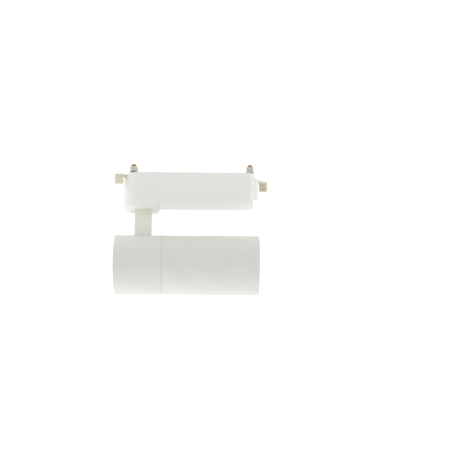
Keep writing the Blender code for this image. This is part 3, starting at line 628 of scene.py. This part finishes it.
def carve(target, shape, operation="DIFFERENCE"):
    """Cut a shape in millimetres from the target, or join it on, and keep only the result."""
    tool = solid("tool", shape)
    step = target.modifiers.new("carve", "BOOLEAN")
    step.operation = operation
    step.solver = "EXACT"
    step.object = tool
    settle(target)
    bpy.data.objects.remove(tool, do_unlink=True)


def settle(target):
    """Replace the target's mesh with what its modifiers make of it."""
    bpy.context.view_layer.update()
    evaluated = target.evaluated_get(bpy.context.evaluated_depsgraph_get())
    mesh = bpy.data.meshes.new_from_object(evaluated)
    old = target.data
    target.modifiers.clear()
    target.data = mesh
    bpy.data.meshes.remove(old)


def round_edges(target, width, segments=2, angle=38.0):
    """Round every edge sharper than the angle, then smooth the rest."""
    step = target.modifiers.new("round", "BEVEL")
    step.width = width * MM
    step.segments = segments
    step.limit_method = "ANGLE"
    step.angle_limit = math.radians(angle)
    step.use_clamp_overlap = True
    step.miter_outer = "MITER_ARC"
    settle(target)
    resmooth(target)


def resmooth(target):
    """Shade a cut piece smooth again, keeping its real edges sharp."""
    target.data.shade_smooth()
    target.data.set_sharp_from_angle(angle=math.radians(30))


def finish_piece(target, body, slot, node, look=None):
    """Give a piece its finish, and put it on its body in place of its CAD node."""
    target.data.materials.clear()
    target.data.materials.append(look or LOOKS[slot])
    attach(target, body)
    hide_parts(node)


# ------------------------------------------------------------------ driver box


def box_outline(inset=0.0, round_steps=72, corner_steps=14):
    """The box seen from above: half round on the left, with rounded corners on the right."""
    corner = CORNER - inset
    x = RIGHT_X - CORNER
    y = HALF - CORNER
    points = arc((ROUND_X, 0.0), HALF - inset, 90, 270, round_steps)
    points += arc((x, -y), corner, -90, 0, corner_steps)
    points += arc((x, y), corner, 0, 90, corner_steps)
    return points


def housing():
    """The moulded box, its pad with the swivel recess, and the half-round boss at the far end."""
    inside = BOX_BOTTOM + WALL
    outside = soften(prism(box_outline(), BOX_BOTTOM, 0.0), FILLET, at_level(BOX_BOTTOM), 6)
    shell = solid("box_shell", outside)
    half = HALF - PAD_STEP
    outline = arc((ROUND_X, 0.0), half, 90, 270, 68) + [(PAD_TOP_X, -half), (PAD_TOP_X, half)]
    pad = prism(outline, PAD_BOTTOM, inside + 1.0)
    for vert in pad.verts:
        if vert.co.x > PAD_TOP_X - 0.1 and vert.co.z < PAD_BOTTOM + 0.1:
            vert.co.x = PAD_BOTTOM_X
    carve(shell, soften(pad, PAD_FILLET, at_level(PAD_BOTTOM), 6), "UNION")
    boss = [(0.0, BOSS_BOTTOM), (BOSS_R, BOSS_BOTTOM), (BOSS_R, -WALL), (0.0, -WALL)]
    carve(shell, lathe(rounded(boss, {1: BOSS_EDGE}, 5), (RIGHT_LOCK_X, 0.0, 0.0), "Z", 72), "UNION")
    carve(shell, prism(box_outline(WALL), inside, 5.0))
    carve(shell, rod(BOSS_POCKET_R, BOSS_BOTTOM + 2.0, 5.0, (RIGHT_LOCK_X, 0.0), steps=64))
    carve(shell, rod(POCKET_R, POCKET_FLOOR, inside + 1.0, steps=64))
    carve(shell, rod(DISC_HIGH.x + RECESS_GAP, PAD_BOTTOM - 5.0, DISC_HIGH.z + 0.3, steps=128))
    carve(shell, rod(PAN_HOLE_R, -40.0, -20.0, steps=40))
    for x, half in (((-30.0, -14.0), LEFT_NOTCH_HALF), ((RIGHT_LOCK_X, 125.0), RIGHT_NOTCH_HALF)):
        carve(shell, block(x, (-half, half), (SHELF_Z, 5.0)))
    round_edges(shell, 0.28, 3)
    finish_piece(shell, "adapter", "white_plastic", "adapter_housing")


def lid():
    """The inset lid: a flat seat with a low step rib, and a lower shelf round each lock."""
    low = LID_LOW.z
    plate = solid("box_lid", prism(box_outline(WALL + LID_GAP), low, 0.0))
    tongue = rod(BOSS_POCKET_R - LID_GAP, low + 0.1, SHELF_Z - 0.1, (RIGHT_LOCK_X, 0.0), steps=64)
    carve(plate, tongue, "UNION")
    wide = (-25.0, 25.0)
    left_shelf, left_rib, right_rib, right_shelf = LID_STEP
    carve(plate, block((left_rib, right_rib), wide, (low - 5.0, -WALL)))
    carve(plate, block((-30.0, left_shelf), wide, (SHELF_Z, 5.0)))
    carve(plate, block((right_shelf, 130.0), wide, (SHELF_Z, 5.0)))
    for x in (LEFT_LOCK_X, RIGHT_LOCK_X):
        carve(plate, rod(LOCK_BORE_R, -10.0, 5.0, (x, 0.0), steps=48))
    for node in ("lid_screw_left", "lid_screw_right"):
        a, b = box_mm(node)
        centre = ((a.x + b.x) / 2, (a.y + b.y) / 2)
        carve(plate, rod(LID_HOLE_R, -10.0, 5.0, centre, steps=28))
        carve(plate, rod(*LID_COUNTERBORE, 5.0, centre, steps=40))
    round_edges(plate, 0.2, 2)
    finish_piece(plate, "adapter", "white_plastic", "adapter_lid")


def screw(node, body, axis, head_high):
    """A screw with a domed head, a ridged shank and a cross recess, sized by its CAD node."""
    a, b = box_mm(node)
    along, u, v = {"X": (0, 1, 2), "Z": (2, 0, 1)}[axis]
    centre = spot_of(((a[u] + b[u]) / 2, (a[v] + b[v]) / 2), axis)
    radius = (b[u] - a[u]) / 2
    head, shank = SCREWS[node]
    tip, top = (a[along], b[along]) if head_high else (b[along], a[along])
    up = 1.0 if head_high else -1.0
    under = top - up * head
    profile = [(0.0, tip), (shank * 0.55, tip), (shank, tip + up * shank)]
    pitch = max(shank * 0.45, 0.5)
    level = tip + up * (shank + pitch)
    while up * (under - level) > pitch:
        profile += [(shank, level), (shank - THREAD_DEPTH, level + up * pitch / 2)]
        level += up * pitch
    profile += [(shank, under), (radius, under)]
    dome = head * 0.45
    for i in range(5):
        angle = math.radians(90 * i / 4)
        reach = radius - 0.45 * dome * (1 - math.cos(angle))
        profile.append((reach, top - up * dome * (1 - math.sin(angle))))
    profile += [(radius * 0.55, top), (0.0, top)]
    made = solid(node + "_turned", lathe(profile, centre, axis, 40))
    recess = sorted((top - up * head * 0.62, top + up * 1.0))
    for turn in (0.5, 0.5 + math.pi / 2):
        bar = block((-radius * 0.55, radius * 0.55), (-radius * 0.13, radius * 0.13), recess)
        bar = moved(bar, Matrix.Rotation(turn, 4, "Z"))
        carve(made, moved(bar, Matrix.Translation(centre) @ TURN_TO[axis]))
    resmooth(made)
    finish_piece(made, body, "plated_steel", node)


# ------------------------------------------------------------------ locks


def lever(side, x, facing):
    """The ivory lever: a stepped spindle, a bar, and a hanging tab with a hollow inner face."""
    profile = rounded(SPINDLE, SPINDLE_ROUNDS, 3)
    made = solid(f"{side}_lever_body", lathe(profile, (x, 0.0, 0.0), "Z", 64))
    turn = Matrix.Translation((x, 0.0, 0.0)) @ Matrix.Rotation(facing, 4, "Z")
    half = BAR_HALF
    outline = [(NECK_R, -half), (TAB_REACH + half, -half), (TAB_REACH - half, half), (NECK_R, half)]
    bar = prism(outline, *BAR_Z)
    bmesh.ops.bevel(bar, geom=list(bar.edges), offset=0.35, segments=3, profile=0.5, affect="EDGES")
    carve(made, moved(bar, turn), "UNION")
    stand = turn @ Matrix.Translation((TAB_REACH, 0.0, 0.0)) @ Matrix.Rotation(math.pi / 4, 4, "Z")
    thick, width = TAB_THICK / 2, TAB_WIDTH / 2
    tab = block((-thick, thick), (-width, width), TAB_HEIGHT, 0.55, 4)
    carve(made, moved(tab, stand), "UNION")
    carve(made, moved(block(*TAB_HOLLOW, 0.3, 3), stand))
    resmooth(made)
    finish_piece(made, f"{side}_lock", "ivory_nylon", f"{side}_lever")


def slab(size, levels, x, soft):
    """A flat bar along Y with round ends and softened faces."""
    length, width = size
    radius = width / 2
    half = length / 2 - radius
    points = arc((x, half), radius, 0, 180, 24) + arc((x, -half), radius, 180, 360, 24)
    shape = prism(points, *levels)
    edges = [e for e in shape.edges if abs(e.verts[0].co.z - e.verts[1].co.z) < 1e-4]
    bmesh.ops.bevel(shape, geom=edges, offset=soft, segments=2, profile=0.5, affect="EDGES")
    return shape


def lock_plate(side, x):
    """The steel plate that grips the rail, with a shallow dimple at each end."""
    plate = solid(f"{side}_grip_plate", slab(PLATE_SIZE, PLATE_Z, x, 0.25))
    carve(plate, rod(NECK_HOLE_R, 0.0, 8.0, (x, 0.0), steps=40))
    for y in (-8.6, 8.6):
        carve(plate, rod(1.1, PLATE_Z[1] - 0.4, 8.0, (x, y), steps=24))
    finish_piece(plate, f"{side}_lock", "plated_steel", f"{side}_lock_plate")


def contact_carrier(side, x):
    """The insulating block, with two pockets in each side."""
    reach, half = CARRIER_HALF
    body = block((x - reach, x + reach), (-half, half), CARRIER_Z, 0.5, 3)
    carrier = solid(f"{side}_insulator", body)
    carve(carrier, rod(NECK_HOLE_R, 0.0, 12.0, (x, 0.0), steps=40))
    for y in (-7.2, 7.2):
        for pocket in ((x - 5.0, x - 2.6), (x + 2.6, x + 5.0)):
            carve(carrier, block(pocket, (y - 2.2, y + 2.2), (5.8, 7.8)))
    finish_piece(carrier, f"{side}_lock", "ivory_nylon", f"{side}_contact_carrier")


def contact_strip(side, x):
    """The copper strip on top, with a shallow dimple at each end."""
    strip = solid(f"{side}_contact_strip", slab(STRIP_SIZE, STRIP_Z, x, 0.16))
    carve(strip, rod(1.3, 5.0, 12.0, (x, 0.0), steps=28))
    for y in (-9.4, 9.4):
        carve(strip, rod(1.2, STRIP_Z[1] - 0.25, 12.0, (x, y), steps=28))
    finish_piece(strip, f"{side}_lock", "copper_alloy", f"{side}_contact_blade")


# ------------------------------------------------------------------ arm


def swivel():
    """The disc that turns in the pad's recess, with a rounded rim."""
    outer, bore = DISC_HIGH.x, PAN_HOLE_R
    low, high = DISC_LOW.z, DISC_HIGH.z
    profile = rounded([(bore, low), (outer, low), (outer, high), (bore, high)], {1: 0.4}, 4)
    made = solid("swivel_plate", lathe(profile, (0.0, 0.0, 0.0), "Z", 128))
    finish_piece(made, "arm", "white_paint", "swivel_disc", LIT_ARM_PAINT)


def arm():
    """The flat bar with a half-round lower end, bored for the tube, the cable and the tilt bolt."""
    half = ARM_HALF_X
    points = [(-half, ARM_TOP), (half, ARM_TOP)] + arc((0.0, HEAD_Z), half, 0, -180, 48)
    shape = prism(points, -ARM_HALF_Y, ARM_HALF_Y, "Y")
    at_top = at_level(ARM_TOP)
    rim = []
    for edge in shape.edges:
        a, b = edge.verts[0].co, edge.verts[1].co
        if abs(a.y - b.y) < 1e-4 and not (at_top(a) and at_top(b)):
            rim.append(edge)
    bmesh.ops.bevel(shape, geom=rim, offset=ARM_EDGE, segments=4, profile=0.5, affect="EDGES")
    made = solid("arm_bar", shape)
    carve(made, rod(PAN_HOLE_R, -44.0, ARM_HIGH.z + 5.0, steps=40))
    carve(made, rod(ARM_BORE_R, -60.0, -40.0, steps=32))
    channel_z = (CHANNEL_LOW, COVER_HIGH.z - 0.8)
    carve(made, block((-CHANNEL_HALF, CHANNEL_HALF), (-2.4, 10.0), channel_z))
    gap = 0.3
    room = [(COVER_LOW[i] - gap, COVER_HIGH[i] + gap) for i in range(3)]
    carve(made, block(room[0], (room[1][0], 10.0), room[2]))
    carve(made, block((0.0, 12.0), (-2.2, 2.2), (CHANNEL_LOW, -78.0)))
    carve(made, rod(TILT_BORE_R, -12.0, 12.0, (0.0, HEAD_Z), "Y", 48))
    resmooth(made)
    finish_piece(made, "arm", "white_paint", "arm", LIT_ARM_PAINT)


def arm_cover():
    """The flat cover over the arm's cable channel."""
    cover = solid("arm_cover_plate", block(*zip(COVER_LOW, COVER_HIGH), 0.3, 3))
    finish_piece(cover, "arm", "white_paint", "arm_cover", LIT_ARM_PAINT)


# ------------------------------------------------------------------ head


def head_lathe(profile, steps=160):
    """Turn a profile of (radius, x) points about the head's centre line."""
    return lathe(profile, (0.0, 0.0, HEAD_Z), "X", steps)


def circle_part(radius, low, high, steps=40):
    """The part of a circle of (y, z) whose y lies between two limits."""
    top = []
    for i in range(steps + 1):
        y = low + (high - low) * i / steps
        top.append((y, math.sqrt(max(radius * radius - y * y, 0.0))))
    points = []
    for y, z in top + [(y, -z) for y, z in reversed(top)]:
        spot = (y, z + HEAD_Z)
        if not points or math.dist(points[-1], spot) > 1e-3:
            points.append(spot)
    if math.dist(points[0], points[-1]) < 1e-3:
        points.pop()
    return points


def rear_housing():
    """The rear part of the head, with the arm's slot, two inner ears and two screw posts."""
    inner = HEAD_R - HEAD_WALL
    rear = REAR_LOW.x
    back = rear + HEAD_WALL
    profile = [
        (0.0, rear), (HEAD_R, rear), (HEAD_R, SEAM_X), (inner, SEAM_X), (inner, REAR_FLOOR_X),
        (0.0, REAR_FLOOR_X),
    ]
    made = solid("rear_shell", head_lathe(rounded(profile, {1: 0.6, 2: 0.1}, 4)))
    ear = SLOT_HALF + EAR_THICK
    room = inner - 0.4
    carve(made, prism(circle_part(room, -room, -ear, 48), back, REAR_FLOOR_X + 0.2, "X"))
    carve(made, prism(circle_part(room, ear, room, 48), back, REAR_FLOOR_X + 0.2, "X"))
    carve(made, prism(circle_part(room, -SLOT_HALF, SLOT_HALF, 20), back, REAR_FLOOR_X + 0.3, "X"))
    carve(made, arm_slot())
    carve(made, rod(TILT_BORE_R, -15.0, 15.0, (0.0, HEAD_Z), "Y", 48))
    for side in (-REAR_SCREW_Y, REAR_SCREW_Y):
        carve(made, rod(POST_R, back - 0.5, 13.4, (side, HEAD_Z), "X", 40), "UNION")
        carve(made, rod(POST_BORE_R, -60.0, 40.0, (side, HEAD_Z), "X", 32))
        carve(made, rod(POST_COUNTERBORE_R, -60.0, rear + 2.4, (side, HEAD_Z), "X", 40))
    round_edges(made, 0.16, 2, 50.0)
    finish_piece(made, "head", "white_paint", "rear_housing")


def arm_slot():
    """The slot from the top to the rear face, with its two front corners rounded."""
    slot = block((-60.0, SLOT_FRONT), (-SLOT_HALF, SLOT_HALF), (HEAD_Z - SLOT_DROP, HEAD_Z + 60.0))
    corners = []
    for edge in slot.edges:
        a, b = edge.verts[0].co, edge.verts[1].co
        at_front = abs(a.x - SLOT_FRONT) < 1e-4 and abs(b.x - SLOT_FRONT) < 1e-4
        if at_front and abs(a.y - b.y) < 1e-4:
            corners.append(edge)
    bmesh.ops.bevel(slot, geom=corners, offset=0.8, segments=4, profile=0.5, affect="EDGES")
    return slot


def front_housing():
    """The front tube, with its spigot into the rear part and the inner screw flange."""
    inner = HEAD_R - HEAD_WALL
    spigot = inner - 0.3
    start = SEAM_X + SEAM_GAP
    end = FRONT_HIGH.x
    back, face = FLANGE_X
    profile = [
        (spigot, FRONT_LOW.x), (spigot, start), (HEAD_R, start), (HEAD_R, end), (inner, end),
        (inner, face), (FLANGE_R, face), (FLANGE_R, back), (spigot - 1.8, back),
        (spigot - 1.8, FRONT_LOW.x),
    ]
    profile = rounded(profile, {2: 0.1, 3: 0.55, 4: 0.5}, 4)
    made = solid("front_shell", head_lathe(profile))
    holes = [(-REAR_SCREW_Y, HEAD_Z), (REAR_SCREW_Y, HEAD_Z)]
    holes += [(0.0, HEAD_Z - SINK_SCREW_Z), (0.0, HEAD_Z + SINK_SCREW_Z)]
    for spot in holes:
        carve(made, rod(FLANGE_HOLE_R, 10.0, 30.0, spot, "X", 24))
    resmooth(made)
    finish_piece(made, "head", "white_paint", "front_housing")


def glare_ring():
    """The black anti-glare ring, with fine steps that open towards the front."""
    outer = GLARE_HIGH.y
    start, end = GLARE_LOW.x, GLARE_HIGH.x
    small, large = outer - 3.8, outer - 1.2
    profile = [(small, start)]
    for i in range(1, GLARE_STEPS + 1):
        x = start + (end - 1.2 - start) * i / GLARE_STEPS
        radius = small + (large - small) * i / GLARE_STEPS
        profile += [(profile[-1][0] + 0.05, x - 0.25), (radius, x)]
    profile += [(large + 0.1, end - 0.2), (large + 0.3, end)]
    profile += [(outer - 0.2, end), (outer, end - 0.2), (outer, start)]
    made = solid("glare_baffle", head_lathe(profile, 144), sharp=20.0)
    finish_piece(made, "head", "black_plastic", "glare_ring")


def front_glass():
    """The clear disc in front of the reflector."""
    radius = GLASS_HIGH.y
    disc = rod(radius, GLASS_LOW.x, GLASS_HIGH.x, (0.0, HEAD_Z), "X", 128, 0.35)
    made = solid("glass_disc", disc)
    finish_piece(made, "head", "clear_glass", "front_glass")


def bowl_loop(shape, radius, x, facet=0.0):
    """One ring of the reflector, pushed out between the facets' edges."""
    loop = []
    count = FACET_COLUMNS * FACET_FINE
    for k in range(count):
        r = radius + facet * abs(math.sin(math.pi * k / FACET_FINE))
        angle = math.tau * k / count
        loop.append(shape.verts.new((x, r * math.cos(angle), r * math.sin(angle) + HEAD_Z)))
    return loop


def reflector():
    """A spun bowl with shallow facets in rows, like a hammered lens reflector."""
    start, end = BOWL_LOW.x, BOWL_HIGH.x - BOWL_THICK
    rim_r = BOWL_HIGH.y
    large = rim_r - 1.9
    inside = []
    for i in range(FACET_ROWS * FACET_FINE + 1):
        share = i / (FACET_ROWS * FACET_FINE)
        radius = BOWL_SMALL_R + (large - BOWL_SMALL_R) * math.sqrt(share)
        inside.append((radius, start + (end - start) * share))
    shape = bmesh.new()
    loops = []
    for i, (radius, x) in enumerate(inside):
        row = abs(math.sin(math.pi * i / FACET_FINE))
        facet = FACET_DEPTH * row * min(1.0, radius / 12.0)
        loops.append(bowl_loop(shape, radius, x, facet))
    rim = [(large, BOWL_HIGH.x), (rim_r, BOWL_HIGH.x), (rim_r, end), (large + BOWL_THICK, end)]
    outside = [(radius + BOWL_THICK, x) for radius, x in reversed(inside[::FACET_FINE])]
    loops += [bowl_loop(shape, radius, x) for radius, x in rim + outside[1:]]
    for i, loop in enumerate(loops):
        after = loops[(i + 1) % len(loops)]
        for k in range(len(loop)):
            j = (k + 1) % len(loop)
            shape.faces.new((loop[k], loop[j], after[j], after[k]))
    made = solid("reflector_bowl", shape, sharp=40.0)
    finish_piece(made, "head", "bright_aluminium", "reflector")


def light_source():
    """The light-giving disc with its dam, and the holder ring with four screw recesses."""
    low, high = box_mm("led_emitter")
    radius = (high.y - low.y) / 2
    profile = [(0.0, low.x), (radius, low.x), (radius, high.x), (radius - 0.7, high.x)]
    profile += [(radius - 1.0, high.x - 0.25), (0.0, high.x - 0.12)]
    made = solid("led_disc", head_lathe(profile, 64))
    finish_piece(made, "head", "phosphor", "led_emitter")
    low, high = box_mm("led_holder")
    outer = (high.y - low.y) / 2
    profile = [(7.2, low.x), (outer, low.x), (outer, high.x), (9.0, high.x), (7.2, low.x + 1.0)]
    made = solid("led_clamp", head_lathe(rounded(profile, {2: 0.4, 3: 0.3}, 3), 96))
    for turn in range(4):
        angle = math.radians(45 + 90 * turn)
        spot = (CLAMP_HOLE_REACH * math.cos(angle), HEAD_Z + CLAMP_HOLE_REACH * math.sin(angle))
        carve(made, rod(1.5, low.x + 1.2, high.x + 3.0, spot, "X", 28))
    resmooth(made)
    finish_piece(made, "head", "white_plastic", "led_holder")


# ------------------------------------------------------------------ stage


def stage():
    """A plain pale floor, well below the lamp."""
    shape = bmesh.new()
    bmesh.ops.create_grid(shape, x_segments=1, y_segments=1, size=4.0)
    mesh = bpy.data.meshes.new("floor")
    shape.to_mesh(mesh)
    shape.free()
    floor = bpy.data.objects.new("floor", mesh)
    bpy.context.scene.collection.objects.link(floor)
    floor.location.z = -0.62
    look, tree, shader = graph("floor_look")
    cloud = noise(tree, coords(tree), 0.004, 3.0)
    base = blend_colour(tree, ramp(tree, cloud, 0.3, 0.7, 0.0, 1.0), (0.67, 0.67, 0.66), (0.70, 0.70, 0.69))
    tree.links.new(base, shader.inputs["Base Color"])
    shader.inputs["Roughness"].default_value = 0.7
    mesh.materials.append(look)


def world():
    """A white tent, brighter above, at the sides and behind, which the camera sees as plain white."""
    made = bpy.data.worlds.new("tent")
    bpy.context.scene.world = made
    made.use_nodes = True
    tree = made.node_tree
    tree.nodes.clear()
    out = tree.nodes.new("ShaderNodeOutputWorld")
    where = tree.nodes.new("ShaderNodeTexCoord")
    split = tree.nodes.new("ShaderNodeSeparateXYZ")
    tree.links.new(where.outputs["Generated"], split.inputs["Vector"])
    x, y, z = (split.outputs[axis] for axis in "XYZ")

    def maths(operation, *values):
        """A maths node whose inputs are numbers or other nodes' outputs."""
        node = tree.nodes.new("ShaderNodeMath")
        node.operation = operation
        for socket, value in zip(node.inputs, values):
            if hasattr(value, "is_output"):
                tree.links.new(value, socket)
            else:
                socket.default_value = value
        return node.outputs[0]

    level = maths("MULTIPLY_ADD", maths("MULTIPLY", x, x), TENT_SIDES, TENT_AROUND)
    level = maths("MULTIPLY_ADD", maths("MAXIMUM", z, 0.0), TENT_ABOVE, level)
    level = maths("MULTIPLY_ADD", maths("MULTIPLY_ADD", y, 0.5, 0.5), TENT_BEHIND, level)
    light = tree.nodes.new("ShaderNodeBackground")
    light.inputs["Color"].default_value = (1.0, 1.008, 0.992, 1.0)
    tree.links.new(level, light.inputs["Strength"])
    seen = tree.nodes.new("ShaderNodeBackground")
    seen.inputs["Color"].default_value = (1.0, 1.0, 1.0, 1.0)
    seen.inputs["Strength"].default_value = TENT_SEEN
    path = tree.nodes.new("ShaderNodeLightPath")
    pick = tree.nodes.new("ShaderNodeMixShader")
    tree.links.new(path.outputs["Is Camera Ray"], pick.inputs[0])
    tree.links.new(light.outputs[0], pick.inputs[1])
    tree.links.new(seen.outputs[0], pick.inputs[2])
    tree.links.new(pick.outputs[0], out.inputs["Surface"])


def softbox(name, at, aim, size, strength, colour=(1.0, 1.0, 1.0)):
    """A square lit panel, aimed at a point and hidden from the camera."""
    data = bpy.data.lights.new(name, "AREA")
    data.color = colour
    data.shape = "RECTANGLE"
    data.size = size
    data.size_y = size
    data.energy = strength * math.pi * size * size
    made = bpy.data.objects.new(name, data)
    bpy.context.scene.collection.objects.link(made)
    made.location = at
    made.rotation_euler = (Vector(aim) - Vector(at)).to_track_quat("-Z", "Y").to_euler()
    made.visible_camera = False


def camera():
    """A long lens just over a metre away, a little below the lamp and looking up."""
    data = bpy.data.cameras.new("camera")
    data.sensor_width = 36.0
    data.lens = LENS
    data.clip_start = 0.01
    data.shift_x, data.shift_y = SHIFT
    made = bpy.data.objects.new("camera", data)
    bpy.context.scene.collection.objects.link(made)
    target = Vector(AIM)
    pitch = math.radians(LOOK_UP)
    made.location = target + DISTANCE * Vector((0.0, -math.cos(pitch), -math.sin(pitch)))
    look = (target - made.location).to_track_quat("-Z", "Y").to_matrix().to_4x4()
    roll = Matrix.Rotation(ROLL, 4, "Z")
    made.rotation_euler = (look @ roll).to_euler()
    bpy.context.scene.camera = made


# ------------------------------------------------------------------ the whole lamp

dress_frame()
housing()
lid()
for name in ("lid_screw_left", "lid_screw_right"):
    screw(name, "adapter", "Z", True)
for side, x, facing in (("left", LEFT_LOCK_X, 225), ("right", RIGHT_LOCK_X, 45)):
    lever(side, x, math.radians(facing))
    lock_plate(side, x)
    contact_carrier(side, x)
    contact_strip(side, x)
    screw(f"{side}_cap_screw", f"{side}_lock", "Z", True)
swivel()
arm()
arm_cover()
rear_housing()
for name in ("rear_screw_near", "rear_screw_far"):
    screw(name, "head", "X", False)
front_housing()
glare_ring()
front_glass()
reflector()
light_source()
stage()
world()
softbox("bounce", (0.05, 0.35, -0.60), (0.05, 0.35, 0.0), BOUNCE_SIZE, BOUNCE, (0.965, 0.985, 1.08))
softbox("glow", (-0.42, 0.25, -0.60), (0.0, 0.0, -0.04), GLOW_SIZE, GLOW)
camera()
bpy.context.scene.view_settings.view_transform = "Standard"
